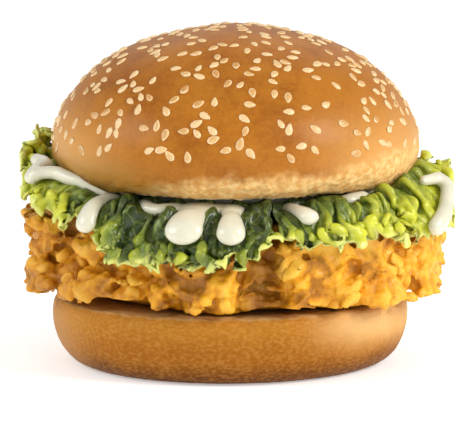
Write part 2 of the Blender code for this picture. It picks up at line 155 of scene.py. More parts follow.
class Finish:
    """A material on one Principled shader, with the nodes that feed it."""

    def __init__(self, name, **constants):
        self.material = bpy.data.materials.new(name)
        self.material.use_nodes = True
        self.tree = self.material.node_tree
        self.shader = self.tree.nodes["Principled BSDF"]
        for socket, value in constants.items():
            self.shader.inputs[socket.replace("_", " ").title()].default_value = value

    def add(self, kind, settings=None, sockets=None, output=0):
        """A node of that kind: its settings, then the numbers, colours or Values of its sockets."""
        node = self.tree.nodes.new(kind)
        for name, setting in (settings or {}).items():
            if name == "stops":
                self.set_stops(node.color_ramp, setting)
            else:
                setattr(node, name, setting)
        for name, value in (sockets or {}).items():
            self.feed(node.inputs[name], value)
        return Value(self, node.outputs[output])

    def set_stops(self, ramp, stops):
        while len(ramp.elements) < len(stops):
            ramp.elements.new(0.5)
        for element, (position, colour) in zip(ramp.elements, stops):
            element.position = position
            element.color = (*colour, 1.0)

    def feed(self, socket, value):
        if isinstance(value, Value):
            self.tree.links.new(value.socket, socket)
        elif isinstance(value, tuple) and len(value) == 3 and len(socket.default_value) == 4:
            socket.default_value = (*value, 1.0)
        else:
            socket.default_value = value

    def paint(self, socket, value):
        """Feeds the shader itself."""
        self.feed(self.shader.inputs[socket], value)

    def place(self, scale=(1, 1, 1)):
        """Object coordinates in millimetres, stretched by scale."""
        here = self.add("ShaderNodeTexCoord", output=3)
        stretch = tuple(value / MM for value in scale)
        return self.add("ShaderNodeMapping", {}, {"Vector": here, "Scale": stretch})

    def axes(self):
        """X, Y and Z of a point, in millimetres."""
        split = self.add("ShaderNodeSeparateXYZ", {}, {"Vector": self.place()})
        outputs = split.socket.node.outputs
        return [Value(self, outputs[i]) for i in range(3)]

    def noise(self, size, detail=3.0, where=None, roughness=0.55):
        """Cloudy noise from 0 to 1 whose clouds are about that many millimetres wide."""
        sockets = {"Vector": where or self.place(), "Scale": 1 / size, "Detail": detail, "Roughness": roughness}
        return self.add("ShaderNodeTexNoise", {}, sockets)

    def cells(self, size, feature="F1", where=None):
        """Distances in a pattern of cells that many millimetres wide."""
        sockets = {"Vector": where or self.place(), "Scale": 1 / size}
        return self.add("ShaderNodeTexVoronoi", {"feature": feature}, sockets)

    def mix(self, factor, first, second, blend="MIX"):
        """A colour between two others."""
        settings = {"data_type": "RGBA", "blend_type": blend}
        return self.add("ShaderNodeMix", settings, {0: factor, 6: first, 7: second}, output=2)

    def ramp(self, factor, *stops):
        """A colour read off a ramp of positions and colours."""
        return self.add("ShaderNodeValToRGB", {"stops": stops}, {0: factor})

    def bump(self, height, depth, strength=1.0):
        """Fine relief whose full height is that many millimetres."""
        sockets = {"Height": height, "Distance": depth * MM, "Strength": strength}
        self.paint("Normal", self.add("ShaderNodeBump", {}, sockets))

    def attribute(self, name, output=2):
        return self.add("ShaderNodeAttribute", {"attribute_name": name}, {}, output)


print("helpers ready")

# %% [markdown]
# ## Rings, spokes and soft tables
#
# Everything on a burger is arranged round an axis. So we place points by angle, distance and height,
# with 270 degrees at the front. A shape that changes on the way round, such as the margin of a leaf, is
# a short table of angles, read with an ease from row to row.

# %% Round-the-axis helpers


def spoke(angle, radius, height):
    """The point at an angle, a distance from the axis and a height."""
    turn = math.radians(angle)
    return Vector((radius * math.cos(turn), radius * math.sin(turn), height))


def angle_of(point):
    return math.degrees(math.atan2(point.y, point.x))


def turn_between(angle, other):
    """The smaller angle between two directions."""
    return abs((angle - other + 180) % 360 - 180)


def eased(value, low=0.0, high=1.0):
    """0 below low, 1 above high, and smooth between them."""
    share = min(1.0, max(0.0, (value - low) / (high - low)))
    return share * share * (3 - 2 * share)


def around(table, angle):
    """Reads a table of rows that start with an angle, easing from row to row round the whole circle."""
    rows = sorted(table)
    angle %= 360.0
    after = next((i for i, row in enumerate(rows) if row[0] > angle), 0)
    low, high = rows[after - 1], rows[after]
    share = eased(((angle - low[0]) % 360.0) / ((high[0] - low[0]) % 360.0))
    return tuple((a + (b - a) * share) * MM for a, b in zip(low[1:], high[1:]))


LIMIT_SPAN = 3.0 * MM


def eased_limit(value, limit):
    """The value itself well below the limit, and squeezed ever more as it comes close."""
    over = value - (limit - LIMIT_SPAN)
    return value if over <= 0 else limit - LIMIT_SPAN * math.exp(-over / LIMIT_SPAN)


def inside_box(point, room):
    """Eases a point in from the sides of the solids' box, and leaves it some room."""
    low, high = cad_box
    for axis in range(2):
        inside = eased_limit(point[axis], high[axis] - room)
        point[axis] = -eased_limit(-inside, -low[axis] - room)
    return point


def elliptic_arc(centre, half_width, half_height, start, end, steps):
    """Points of a profile, as radius and height, along part of an ellipse."""
    turns = [math.radians(start + (end - start) * i / steps) for i in range(steps + 1)]
    return [(centre[0] + half_width * math.cos(t), centre[1] + half_height * math.sin(t)) for t in turns]


def cell_distance(point):
    """How far the point is from the middle of the nearest random cell: 0 in the middle, 1 far out."""
    return noise.voronoi(point)[0][0]


def new_piece(name, shape, finish, slot, *nodes):
    """Puts a bmesh in the scene as a piece that stands for CAD nodes and takes a finish."""
    mesh = bpy.data.meshes.new(name)
    shape.to_mesh(mesh)
    shape.free()
    mesh.shade_smooth()
    piece = bpy.data.objects.new(name, mesh)
    piece.data.materials.append(finish.material)
    bpy.context.scene.collection.objects.link(piece)
    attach(piece, "root")
    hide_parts(*nodes)
    return piece


def apply_modifiers(piece):
    """Replaces the piece's mesh with what its modifiers make of it."""
    graph = bpy.context.evaluated_depsgraph_get()
    made = bpy.data.meshes.new_from_object(piece.evaluated_get(graph))
    piece.modifiers.clear()
    piece.data = made
    made.shade_smooth()


def small_shape(name, shape):
    """Keeps a bmesh as a mesh to be stamped many times."""
    mesh = bpy.data.meshes.new(name)
    shape.to_mesh(mesh)
    shape.free()
    return mesh


def ball(subdivisions):
    shape = bmesh.new()
    bmesh.ops.create_icosphere(shape, subdivisions=subdivisions, radius=1)
    return small_shape("ball", shape)


def stamp(shape, small, place):
    """Adds a copy of a small mesh to a bmesh, at a place."""
    copy = small.copy()
    copy.transform(place)
    shape.from_mesh(copy)
    bpy.data.meshes.remove(copy)


def report(piece):
    triangles = sum(len(face.vertices) - 2 for face in piece.data.polygons)
    print(f"{piece.name}: {triangles} triangles before its wall" if piece.modifiers else f"{piece.name}: {triangles} triangles")


# %% [markdown]
# ## The bun
#
# Dough swells freely on top and lies flat where it was cut, so a bun is a turned shape: an arc for the
# dome, a tighter arc for the lip that rolls in under it, and a flat cut face. We spin that profile
# round the axis in many steps, because the relief comes next: each point moves a little along its
# normal. Broad noise makes the dimples that proving leaves, and small cells make the torn, floury
# crumb along the lip.

# %% Bun sizes
HEEL_FOOT_RADIUS = 42.0 * MM
HEEL_RADIUS = 52.5 * MM
HEEL_WAIST_HEIGHT = 15.0 * MM
HEEL_RIM_RADIUS = 50.0 * MM
HEEL_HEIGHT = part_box("bun_heel")[1][2]
HEEL_CENTRE = Vector((-2.0 * MM, 0.0, 0.0))
CROWN_CUT_RADIUS = 44.0 * MM
CROWN_CUT_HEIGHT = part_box("bun_crown")[0][2]
CROWN_RADIUS = 53.8 * MM
CROWN_WIDEST_HEIGHT = 64.0 * MM
CROWN_TOP_HEIGHT = 99.2 * MM
CROWN_CENTRE = Vector((-0.4 * MM, 0.0, 0.0))
BUN_SEGMENTS = 108
BUN_SUBDIVISIONS = 2
print("heel top and crown cut in mm:", round(HEEL_HEIGHT / MM, 1), round(CROWN_CUT_HEIGHT / MM, 1))

# %% Bun shapes


def hand_shaped(angle):
    """A round bun is never a true circle."""
    turn = math.radians(angle)
    return 1 + 0.007 * math.sin(2 * turn + 0.7) + 0.005 * math.sin(3 * turn + 2.0)


def turned_bun(name, node, profile, centre, relief, finish):
    """Spins the profile, swells it unevenly, refines it and then adds the relief along its normals."""
    shape = bmesh.new()
    ring = [shape.verts.new((radius, 0, height)) for radius, height in profile]
    edges = [shape.edges.new(pair) for pair in zip(ring, ring[1:])]
    bmesh.ops.spin(
        shape,
        geom=ring + edges,
        axis=(0, 0, 1),
        cent=(0, 0, 0),
        angle=math.tau,
        steps=BUN_SEGMENTS,
        use_merge=True,
    )
    bmesh.ops.remove_doubles(shape, verts=shape.verts, dist=0.01 * MM)
    for vertex in shape.verts:
        vertex.co.xy *= hand_shaped(angle_of(vertex.co))
    bmesh.ops.translate(shape, verts=shape.verts, vec=centre)
    bmesh.ops.recalc_face_normals(shape, faces=shape.faces)
    bun = new_piece(name, shape, finish, "bun_crust", node)
    refine = bun.modifiers.new("refine", "SUBSURF")
    refine.levels = refine.render_levels = BUN_SUBDIVISIONS
    apply_modifiers(bun)
    moves = [vertex.normal * relief(vertex.co) for vertex in bun.data.vertices]
    for vertex, move in zip(bun.data.vertices, moves):
        vertex.co += move
    return bun


def flat_rings(radius, height, count):
    """Points of a flat face, from near the axis out to its edge."""
    return [(radius * (i + 0.5) / count, height) for i in range(count)]


def heel_relief(point):
    """Soft dimples, fine leathery wrinkles, and a ragged upper edge."""
    if point.z < 0.2 * MM:
        return 0.0
    dimples = 0.45 * MM * noise.noise(point / (17 * MM))
    stretched = Vector((point.x * 0.6, point.y * 0.6, point.z * 1.25)) / (1.25 * MM)
    wrinkles = 0.07 * MM * noise.noise(stretched)
    ragged = eased(point.z, 16 * MM, 20 * MM) * 0.35 * MM * (noise.noise(point / (2.1 * MM)) - 0.4)
    return dimples * eased(point.z, 0, 4 * MM) + wrinkles + ragged


def lip_share(point):
    """1 on the torn lip of the crown and 0 on its glazed dome, with a wandering border."""
    wander = 3.0 * MM * noise.noise(Vector((point.x, point.y, 0)) / (9 * MM))
    return 1 - eased(point.z + wander, 56.5 * MM, 62.5 * MM)


def crown_relief(point):
    dimples = 0.55 * MM * noise.noise(point / (21 * MM) + Vector((3, 0, 0)))
    skin = 0.035 * MM * noise.noise(point / (1.4 * MM))
    crumb = 0.80 * MM * (0.5 - cell_distance(point / (3.1 * MM))) + 0.35 * MM * noise.noise(point / (1.1 * MM))
    return dimples + skin + crumb * lip_share(point)


def under_crown(point, room):
    """Presses a point down until it has room below the crown's cut face and lip."""
    radius = (point - CROWN_CENTRE).xy.length / hand_shaped(angle_of(point))
    out = max(0.0, (radius - CROWN_CUT_RADIUS) / (CROWN_RADIUS - CROWN_CUT_RADIUS))
    if out < 1:
        drop = (CROWN_WIDEST_HEIGHT - CROWN_CUT_HEIGHT) * math.sqrt(1 - out * out)
        point.z = min(point.z, CROWN_WIDEST_HEIGHT - drop - room)
    return point


def heel_bun(finish):
    waist = (HEEL_FOOT_RADIUS, HEEL_WAIST_HEIGHT)
    side = elliptic_arc(waist, HEEL_RADIUS - HEEL_FOOT_RADIUS, HEEL_WAIST_HEIGHT, -90, 0, 11)
    shoulder = (HEEL_RIM_RADIUS, HEEL_WAIST_HEIGHT)
    rim = elliptic_arc(shoulder, HEEL_RADIUS - HEEL_RIM_RADIUS, HEEL_HEIGHT - HEEL_WAIST_HEIGHT, 0, 90, 5)
    top = reversed(flat_rings(HEEL_RIM_RADIUS, HEEL_HEIGHT, 6))
    profile = [(0, 0), *flat_rings(HEEL_FOOT_RADIUS, 0, 3), *side, *rim[1:], *top, (0, HEEL_HEIGHT)]
    return turned_bun("heel", "bun_heel", profile, HEEL_CENTRE, heel_relief, finish)


def crown_bun(finish):
    lip_centre = (CROWN_CUT_RADIUS, CROWN_WIDEST_HEIGHT)
    lip_width = CROWN_RADIUS - CROWN_CUT_RADIUS
    lip = elliptic_arc(lip_centre, lip_width, CROWN_WIDEST_HEIGHT - CROWN_CUT_HEIGHT, -90, 0, 9)
    dome_height = CROWN_TOP_HEIGHT - CROWN_WIDEST_HEIGHT
    dome = elliptic_arc((0, CROWN_WIDEST_HEIGHT), CROWN_RADIUS, dome_height, 0, 90, 24)
    cut = flat_rings(CROWN_CUT_RADIUS, CROWN_CUT_HEIGHT, 3)
    profile = [(0, CROWN_CUT_HEIGHT), *cut, *lip, *dome[1:-1], (0, CROWN_TOP_HEIGHT)]
    return turned_bun("crown", "bun_crown", profile, CROWN_CENTRE, crown_relief, finish)


# %% [markdown]
# ## What baking does to the crust, and where light and shade are painted
#
# An egg-washed bun bakes to a deep golden brown on top, where it is closest to the heat, and floury cream
# where it touched its neighbours or was cut. So the colour follows the height, with a border that wanders,
# and clouds of noise that keep it from looking painted. A bun also stays paler on its flanks, but here that
# paler colour is painted only on the left and right sides, as painted sheen and light. The glaze is painted
# lighter towards the right, and shade is painted low on the left of the crown and its lip. The heel gets
# painted shade low down and on its torn edge, painted light on its sides and a painted highlight. Object
# coordinates are right for this, because height on the bun is height in the object.

# %% Bun finish
GLAZE = (0.270, 0.080, 0.006)
GLAZE_LIGHT = (0.420, 0.152, 0.013)
# Pale crust for the lip's crumb, and also painted on the crown's sides as sheen and light.
FLANK_AND_SHEEN = (0.660, 0.340, 0.100)
LIP_CREAM = (0.800, 0.560, 0.240)
LIP_SHADE = (0.260, 0.132, 0.018)
CRUMB = (0.830, 0.690, 0.450)
HEEL_BASE_AND_SHADE = (0.120, 0.034, 0.003)
HEEL_SIDE = (0.310, 0.104, 0.007)
HEEL_SHOULDER = (0.410, 0.160, 0.015)
HEEL_PAINTED_LIGHT = (0.700, 0.390, 0.125)
HEEL_CUT_AND_SHADE = (0.480, 0.280, 0.105)
HEEL_GRAIN = (0.700, 0.360, 0.085)


def crown_finish():
    """Deep gold in the middle, with painted light towards the right, a paler flank painted on both sides as sheen
    and light, and a cream lip with painted shade on the left.
    """
    finish = Finish("crown_crust", coat_roughness=0.3)
    finish.paint("Specular IOR Level", 0.10)
    across, _, height = finish.axes()
    broad = finish.noise(13, 4)
    fine = finish.noise(1.3, 3)
    speckle = finish.noise(0.55, 3)
    # Random tone of the glaze, plus painted light that makes it lighter towards the right.
    shade = broad * 1.5 + fine * 0.6 + speckle * 0.5 - 0.85 + across.between(5.0, 40.0) * 0.2
    glaze = finish.mix(shade.between(0.0, 0.8), GLAZE, GLAZE_LIGHT)
    low = 1 - (height + broad * 9.0 - 4.5).between(60.0, 86.0)
    # The paler flank colour is painted only on the left and right sides: painted sheen and light.
    sides = across.between(14.0, 50.0) + across.between(-26.0, -52.0)
    flank = finish.mix(low * sides, glaze, FLANK_AND_SHEEN)
    lip_edge = height + finish.noise(5, 3) * 7.0 - 3.5 - across.between(-30, 5) * 3.4 - across.between(28, 48) * 4.5
    lip = 1 - lip_edge.between(55.0, 59.5)
    # Painted shade low on the left of the crown, and on the left of the cream lip.
    painted_shade_low_left = across.between(-14.0, -40.0) * height.between(69.0, 58.0) * 0.7
    shaded = finish.mix(painted_shade_low_left, flank, LIP_SHADE)
    crumbly = finish.mix(finish.noise(1.7, 4).between(0.35, 0.68), FLANK_AND_SHEEN, LIP_CREAM)
    cream = finish.mix(across.between(-10.0, -34.0), crumbly, LIP_SHADE)
    torn = finish.mix(lip, shaded, cream)
    cut = 1 - height.between(53.7, 54.3)
    finish.paint("Base Color", finish.mix(cut, torn, CRUMB))
    finish.paint("Roughness", lip * 0.35 + 0.34 + fine * 0.08)
    finish.paint("Coat Weight", (1 - lip) * height.between(99.0, 78.0) * 0.11)
    finish.bump(fine + finish.noise(0.5, 2) * 0.4, 0.10, 0.7)
    return finish


def heel_finish():
    """Brown low down where it lay on the tray and darker still there as painted shade, golden above, with painted
    light on its sides and a painted highlight at its upper right.
    """
    finish = Finish("heel_crust", coat_roughness=0.35)
    finish.paint("Specular IOR Level", 0.04)
    across, _, height = finish.axes()
    broad = finish.noise(11, 4)
    wrinkled = finish.noise(0.9, 4, finish.place((0.7, 0.7, 1.15)))
    # Browner low down where it lay on the tray, deepened by painted shade towards the bottom.
    level = height + broad * 6.0 - 3.0
    side = finish.mix(level.between(0.5, 9.0), HEEL_BASE_AND_SHADE, HEEL_SIDE)
    shoulder = finish.mix(level.between(9.0, 18.5), side, HEEL_SHOULDER)
    # Painted light on the right side of the heel, and less of it on the far left.
    right = across.between(15.0, 45.0) * level.between(5.0, 15.0) + across.between(-38.0, -52.0) * 0.3
    lit = finish.mix(right, shoulder, HEEL_PAINTED_LIGHT)
    # A painted highlight at the upper right, in the pale crumb colour.
    painted_highlight = across.between(18.0, 36.0) * across.between(52.0, 40.0) * level.between(9.0, 17.0)
    highlit = finish.mix(painted_highlight * 0.20, lit, CRUMB)
    mottled = finish.mix(wrinkled.between(0.40, 0.66) * 0.24, highlit, HEEL_GRAIN)
    # The torn upper edge, in a crumb colour toned down by painted shade.
    cut = (height + finish.noise(2.5, 3) * 1.6).between(20.0, 20.9)
    finish.paint("Base Color", finish.mix(cut, mottled, HEEL_CUT_AND_SHADE))
    finish.paint("Roughness", wrinkled * 0.2 + 0.36)
    finish.paint("Coat Weight", (1 - cut) * 0.04)
    finish.bump(wrinkled + finish.noise(0.45, 2) * 0.4, 0.45, 0.9)
    return finish


report(heel_bun(heel_finish()))
report(crown_bun(crown_finish()))

# %% [markdown]
# ## Sesame seeds
#
# A sesame seed is a flat teardrop about three millimetres long. We shape one from a small sphere with a
# few dozen faces, and copy it to random places on the dome, drawn so that each square centimetre gets
# its share. The first draws are the same as in the solids, and the rest fill in closer together. Each
# point of a seed carries two numbers in an attribute, how near it is to the rim and how toasted its
# seed is, so that one finish can paint them all differently.

# %% Seed places
SEED_HALF_SIZE = Vector((1.84, 1.20, 0.55)) * MM
SOLID_SEEDS = 120
SOLID_SEED_SPACING = 4.2 * MM
SEED_COUNT = 440
SEED_SPACING = 2.5 * MM
SEED_LOWEST_SHARE = 0.03
SEED_DRAW = 11


def seed_places():
    """Seeded random places on the dome, even by area, as a point, the way outwards and a spin."""
    draw = random.Random(SEED_DRAW)
    rise = CROWN_TOP_HEIGHT - CROWN_WIDEST_HEIGHT
    places = []
    while len(places) < SEED_COUNT:
        share, angle, kept = draw.uniform(SEED_LOWEST_SHARE, 1), draw.uniform(0, 360), draw.random()
        spin = draw.uniform(0, math.pi)
        flank = math.sqrt(1 - share * share)
        if kept > math.hypot(rise * flank, CROWN_RADIUS * share) / CROWN_RADIUS:
            continue
        radius = CROWN_RADIUS * flank * hand_shaped(angle)
        point = spoke(angle, radius, CROWN_WIDEST_HEIGHT + rise * share) + CROWN_CENTRE
        spacing = SOLID_SEED_SPACING if len(places) < SOLID_SEEDS else SEED_SPACING
        if any((point - other).length < spacing for other, _, _ in places):
            continue
        outward = spoke(angle, flank / CROWN_RADIUS, share / rise).normalized()
        places.append((point, outward, spin))
    return places


# %% Seed shape and finish


def one_seed():
    """A teardrop with its rim marked, and the same attribute on all its points."""
    shape = bmesh.new()
    layer = shape.verts.layers.float_color.new("seed")
    bmesh.ops.create_uvsphere(shape, u_segments=10, v_segments=6, radius=1)
    for vertex in shape.verts:
        vertex[layer] = (min(1.0, vertex.co.xy.length), 0.0, 0.0, 1.0)
        vertex.co.y *= 1 - 0.42 * eased(vertex.co.x, -0.5, 1.0)
    return small_shape("one_seed", shape)


def sesame_seeds(finish):
    draw = random.Random(SEED_DRAW + 1)
    seed = one_seed()
    rims = [mark.color[0] for mark in seed.attributes["seed"].data]
    shape = bmesh.new()
    for point, outward, spin in seed_places():
        size = SEED_HALF_SIZE * draw.uniform(0.84, 1.08)
        toast = draw.random() ** 1.5
        for mark, rim in zip(seed.attributes["seed"].data, rims):
            mark.color = (rim, toast, 0.0, 1.0)
        spin += draw.choice((0, math.pi))
        tilt = Matrix.Rotation(draw.uniform(-0.16, 0.16), 4, "Y")
        turn = outward.to_track_quat("Z", "X").to_matrix().to_4x4() @ Matrix.Rotation(spin, 4, "Z") @ tilt
        base = Matrix.Translation(point + outward * (crown_relief(point) - 0.05 * MM))
        stamp(shape, seed, base @ turn @ Matrix.Diagonal((*size, 1)))
    bmesh.ops.recalc_face_normals(shape, faces=shape.faces)
    return new_piece("sesame_seeds", shape, finish, "sesame_seed", "bun_crown")


def seed_finish():
    finish = Finish("sesame", roughness=0.38, coat_weight=0.15, subsurface_weight=0.15)
    finish.paint("Subsurface Radius", (0.0012, 0.0008, 0.0004))
    split = finish.add("ShaderNodeSeparateColor", {}, {0: finish.attribute("seed", 0)})
    rim, toast = split, Value(finish, split.socket.node.outputs[1])
    body = finish.ramp(toast, (0.0, (0.74, 0.52, 0.26)), (0.5, (0.66, 0.40, 0.15)), (1.0, (0.52, 0.24, 0.05)))
    pale = finish.mix(rim.between(0.55, 0.92) * 0.8, body, (0.84, 0.64, 0.36))
    grain = finish.noise(0.8, 2)
    finish.paint("Base Color", finish.mix(grain.between(0.45, 0.8) * 0.35, pale, (0.62, 0.40, 0.17)))
    finish.bump(grain, 0.05, 0.6)
    return finish


report(sesame_seeds(seed_finish()))

# %% [markdown]
# ## Lettuce
#
# A curly leaf grows faster at its margin than in its middle, so the margin has more length than room and
# buckles into waves, and those waves into smaller ones. We start from a flat grid, lay it under the crown
# and over the fillet by a formula, and then ruffle it in three rounds. Each round moves the points along
# the normals that the round before left, with shorter waves that start nearer the margin. That is why
# the small frills follow the big folds.

# %% Where the leaves lie
LETTUCE_INNER_RADIUS = 12.0 * MM
LETTUCE_BEND_RADIUS = 42.0 * MM
LETTUCE_LEVEL = 48.0 * MM
LETTUCE_THICKNESS = 0.7 * MM
LETTUCE_MARGIN = (
    (5, 63.4, 53, 12), (25, 61, 54, 8), (50, 59, 44, 3), (90, 57, 42, 2), (130, 58.5, 44, 4),
    (150, 59.5, 56, 8), (168, 60, 69, 8), (180, 62, 59, 12), (195, 61.5, 50, 16), (210, 60.5, 45, 14),
    (225, 59, 38, 6), (240, 57.5, 34, 1), (256, 57.5, 34, 0), (268, 57.5, 34, 0), (280, 57, 37, 0),
    (292, 57.5, 39, 2), (308, 58.5, 39, 4), (325, 60.5, 38, 8), (340, 63, 37, 15), (352, 63.6, 39, 17),
)
LEAVES = (
    ("left", 140.0, 222.0),
    ("front", 224.0, 281.5),
    ("right", 283.5, 375.0),
    ("back", 17.0, 138.0),
)
DRIPS = (
    ((222, 0.12, 4.2, 3.4), (223, 0.38, 4.0, 3.4), (224.5, 0.60, 6.2, 4.6), (225, 0.72, 6.8, 5.0)),
    ((233, 0.05, 5, 3.4), (238, 0.16, 5.6, 3.6), (243, 0.16, 5.6, 3.6), (247, 0.05, 5, 3.4)),
    ((257, 0.04, 14, 3.8), (255.5, 0.24, 9.0, 3.8), (255, 0.44, 10.6, 5.2), (255, 0.54, 11.4, 6.0)),
    ((257, 0.04, 6, 3.6), (263, 0.02, 6, 3.4), (268.5, 0.04, 6, 3.4)),
    ((268.5, 0.06, 8, 3.6), (268.5, 0.26, 5.2, 3.6), (268.5, 0.44, 7.4, 5.0), (268.5, 0.57, 8.6, 6.0)),
    ((290, 0.06, 4.2, 3.4), (291, 0.28, 4.6, 3.6), (292, 0.48, 6.2, 4.6)),
    ((310, 0.05, 5.4, 3.6), (314, 0.16, 6.8, 4.0), (319, 0.16, 6.8, 4.0), (322, 0.06, 5.4, 3.6)),
    ((330, 0.10, 4.6, 3.4), (333.5, 0.16, 5, 3.6)),
)
CURLS = {
    "left": (
        (187, 0.61, 5.4, 4.2), (190, 0.54, 6.4, 4.8), (193, 0.51, 6.2, 4.6), (196, 0.62, 5.2, 4.0),
        (198.5, 0.72, 5.8, 4.4), (200.5, 0.59, 4.8, 3.8), (203, 0.48, 5.6, 4.2), (208, 0.41, 5.6, 4.2),
        (214, 0.30, 5.0, 3.8), (218, 0.22, 4.6, 3.4),
    ),
    "right": (
        (342, 0.44, 3.8, 3.2), (347, 0.53, 4.8, 3.8), (347, 0.63, 5.2, 4.2), (342, 0.72, 5.2, 4.2),
        (337, 0.79, 6.4, 4.8), (332.5, 0.85, 6.8, 5.0),
    ),
}
RESTING_DROPS = [row for path in (*DRIPS, *CURLS.values()) for row in path if row[1] > 0.3]


def sheet_line(angle, along):
    """The free sheet without its ruffle, as radius and height: 0 is the bend and 1 the margin."""
    reach, height, arch = around(LETTUCE_MARGIN, angle)
    back = 1 - along
    radius = LETTUCE_BEND_RADIUS * back**2 + 2 * (reach + 1 * MM) * along * back + reach * along**2
    level = LETTUCE_LEVEL * back**2 + 2 * (LETTUCE_LEVEL + arch) * along * back + height * along**2
    return radius, level


def sheet_outward(angle, along):
    """The sheet's upper side, as a unit vector, from two points close together on its line."""
    low, high = sheet_line(angle, along - 0.02), sheet_line(angle, along + 0.02)
    return spoke(angle, low[1] - high[1], high[0] - low[0]).normalized()


# %% Ruffles
RUFFLE_WAVES = 22
RUFFLE_UNEVENNESS = 0.9
RUFFLE_HEIGHT = 3.6 * MM
RUFFLE_SWAY = 1.9 * MM
RUFFLE_GROWTH = 1.5
CALM_UNDER_SAUCE = 0.15
CALM_PER_WIDTH = 0.55
CALM_EDGE_SPAN = 4.0
CALM_FRILL = 0.22
CALM_FRILL_INNER = 2.6 * MM
CALM_FRILL_OUTER = 6.0 * MM
LEAF_CORNER_SPAN = 9.0
LEAF_CORNER_TRIM = 0.30
LEAF_STEP = 0.26
LEAF_INNER_ROWS = 4
LEAF_FREE_ROWS = 62
LEAF_WALL = 0.34 * MM
LEAF_UNDER_CROWN = 0.35 * MM
LEAF_FLIP = 3.4 * MM
COLLAR_LIFT = 5.5 * MM
COLLAR_WAVES = 31
COLLAR_CALM = 0.55
FOLD_DEPTH = 3.0 * MM
FRILLS = (
    {"waves": 39, "height": 2.9 * MM, "sway": 1.25 * MM, "growth": 0.8, "wander": 5.0, "shift": 3.6},
    {"waves": 101, "height": 1.8 * MM, "sway": 0.62 * MM, "growth": 1.2, "wander": 6.0, "shift": 4.4},
    {"waves": 221, "height": 0.70 * MM, "sway": 0.25 * MM, "growth": 3.0, "wander": 6.0, "shift": 4.0},
)


def calm_near_sauce(angle, along):
    """The leaf lies down under each drop of mayonnaise."""
    calm = 1.0
    for row in RESTING_DROPS:
        away = turn_between(angle, row[0]) - CALM_PER_WIDTH * row[2]
        below = eased(along, row[1] + 0.22, row[1] + 0.36)
        calm = min(calm, max(CALM_UNDER_SAUCE, away / CALM_EDGE_SPAN, below))
    return calm


def leaf_point(angle, along, calm):
    """A point of the free sheet with its large ruffle."""
    radius, level = sheet_line(angle, along)
    phase = math.radians(angle) * RUFFLE_WAVES + RUFFLE_UNEVENNESS * math.sin(math.radians(3 * angle))
    strength = calm * along**RUFFLE_GROWTH
    sideways = spoke(angle + 90, RUFFLE_SWAY * strength * math.sin(2 * phase), 0)
    lift = sheet_outward(angle, along) * (RUFFLE_HEIGHT * strength * math.sin(phase))
    return spoke(angle, radius, level) + lift + sideways


def margin_share(angle, start, end):
    """How far out the leaf runs at an angle: rounded at its two corners, lobed and toothed between them."""
    near = min(angle - start, end - angle)
    corner = (1 - min(1.0, near / LEAF_CORNER_SPAN)) ** 2 * LEAF_CORNER_TRIM
    lobes = 0.36 * abs(noise.noise(Vector((angle / 4.6, start, 0))))
    teeth = 0.10 * abs(noise.noise(Vector((angle / 1.5, start, 5))))
    return 1 - corner - lobes - teeth


def sauce_search():
    """A search tree of points along all the mayonnaise, so that the small frills lie down just there."""
    points = []
    for path in (*DRIPS, *CURLS.values()):
        for low, high in zip(path, path[1:]):
            steps = [(low[0] + (high[0] - low[0]) * i / 6, low[1] + (high[1] - low[1]) * i / 6) for i in range(7)]
            points += [spoke(angle, *sheet_line(angle, along)) for angle, along in steps]
    tree = KDTree(len(points))
    for number, point in enumerate(points):
        tree.insert(point, number)
    tree.balance()
    return tree


SAUCE_SEARCH = sauce_search()


def frill_calm(angle, along):
    """The small frills lie down only close to the mayonnaise."""
    away = SAUCE_SEARCH.find(spoke(angle, *sheet_line(angle, along)))[2]
    return CALM_FRILL + (1 - CALM_FRILL) * eased(away, CALM_FRILL_INNER, CALM_FRILL_OUTER)


def frill(marks, frill_round, folds):
    """Adds one round of shorter waves along the normals that the sheet has now."""
    moves = []
    for number, (vertex, angle, along, calm) in enumerate(marks):
        wander = frill_round["wander"] * noise.noise(Vector((angle / 7.0, along * 2.6, frill_round["waves"])))
        wander += frill_round["shift"] * noise.noise(Vector((angle / 2.5, along * 3.5, 9)))
        phase = math.radians(angle) * frill_round["waves"] + wander
        uneven = 0.55 + 1.25 * abs(noise.noise(Vector((angle / 3.4, along * 2.2, frill_round["waves"] + 5))))
        strength = calm * uneven * along ** frill_round["growth"]
        normal = vertex.normal
        across = spoke(angle + 90, 1, 0)
        across = (across - normal * across.dot(normal)).normalized()
        lift = frill_round["height"] * strength * math.sin(phase)
        sway = frill_round["sway"] * strength * math.sin(2 * phase)
        folds[number] += lift
        moves.append(normal * lift - across * sway)
    for mark, move in zip(marks, moves):
        mark[0].co += move


def raise_collar(marks):
    """Folds of the leaf that stand up close to the bun, where it bends down."""
    for vertex, angle, along, calm in marks:
        phase = math.radians(angle) * COLLAR_WAVES + 2.5 * noise.noise(Vector((angle / 6.0, 1, 7)))
        hump = eased(along, 0.0, 0.10) * (1 - eased(along, 0.16, 0.62))
        ridge = 1 - eased(along, 0.0, 0.07)
        lift = max(ridge, hump * max(COLLAR_CALM, calm))
        vertex.co.z += COLLAR_LIFT * lift * (0.84 + 0.16 * math.sin(phase))


def flip_margin(marks):
    """Turns parts of the margin outwards, so that one looks into their curls."""
    for vertex, angle, along, _ in marks:
        turned = max(0.0, 0.35 + noise.noise(Vector((angle / 5.5, 4, 2))))
        vertex.co += spoke(angle, LEAF_FLIP, 0.4 * LEAF_FLIP) * turned * eased(along, 0.62, 1.0)


def blister(marks):
    """The quilted bubbles between the veins."""
    moves = []
    for vertex, angle, along, _ in marks:
        place = Vector((math.radians(angle) * 58, along * 24, 0)) / 3.4
        bubble = 0.5 - cell_distance(place)
        moves.append(vertex.normal * bubble * 0.5 * MM * eased(along, 0.05, 0.3))
    for mark, move in zip(marks, moves):
        mark[0].co += move


